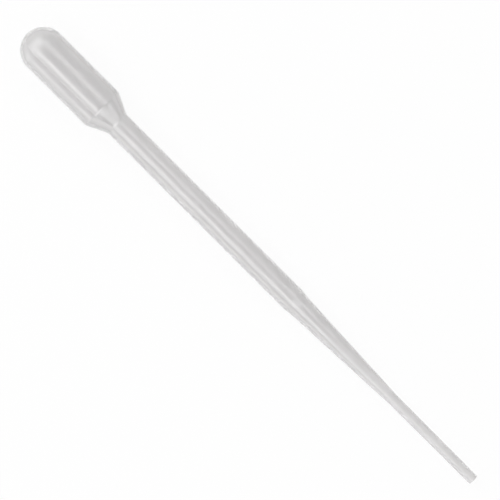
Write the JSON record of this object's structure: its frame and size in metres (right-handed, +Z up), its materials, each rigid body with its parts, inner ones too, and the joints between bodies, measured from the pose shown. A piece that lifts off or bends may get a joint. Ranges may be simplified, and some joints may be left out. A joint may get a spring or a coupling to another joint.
{
  "type": "plastic dropper pipette",
  "caption": "One-piece translucent plastic dropper: a squeeze bulb, a long straight stem and a fine tapered tip with an open bore, lying on its side.",
  "frame": {"origin": "on the surface that the pipette lies on, under the middle of its bounding box", "axes": "+X runs from the bulb's closed end towards the open mouth, +Z is up, and +Y is across the pipette. The pipette's own axis dips 2 degrees below +X towards the mouth."},
  "size_m": [0.155, 0.0114, 0.0122],
  "materials": {
    "natural_ldpe": "satin, translucent natural low-density polyethylene"
  },
  "bodies": {
    "root": {"pipette": "natural_ldpe"}
  },
  "joints": []
}
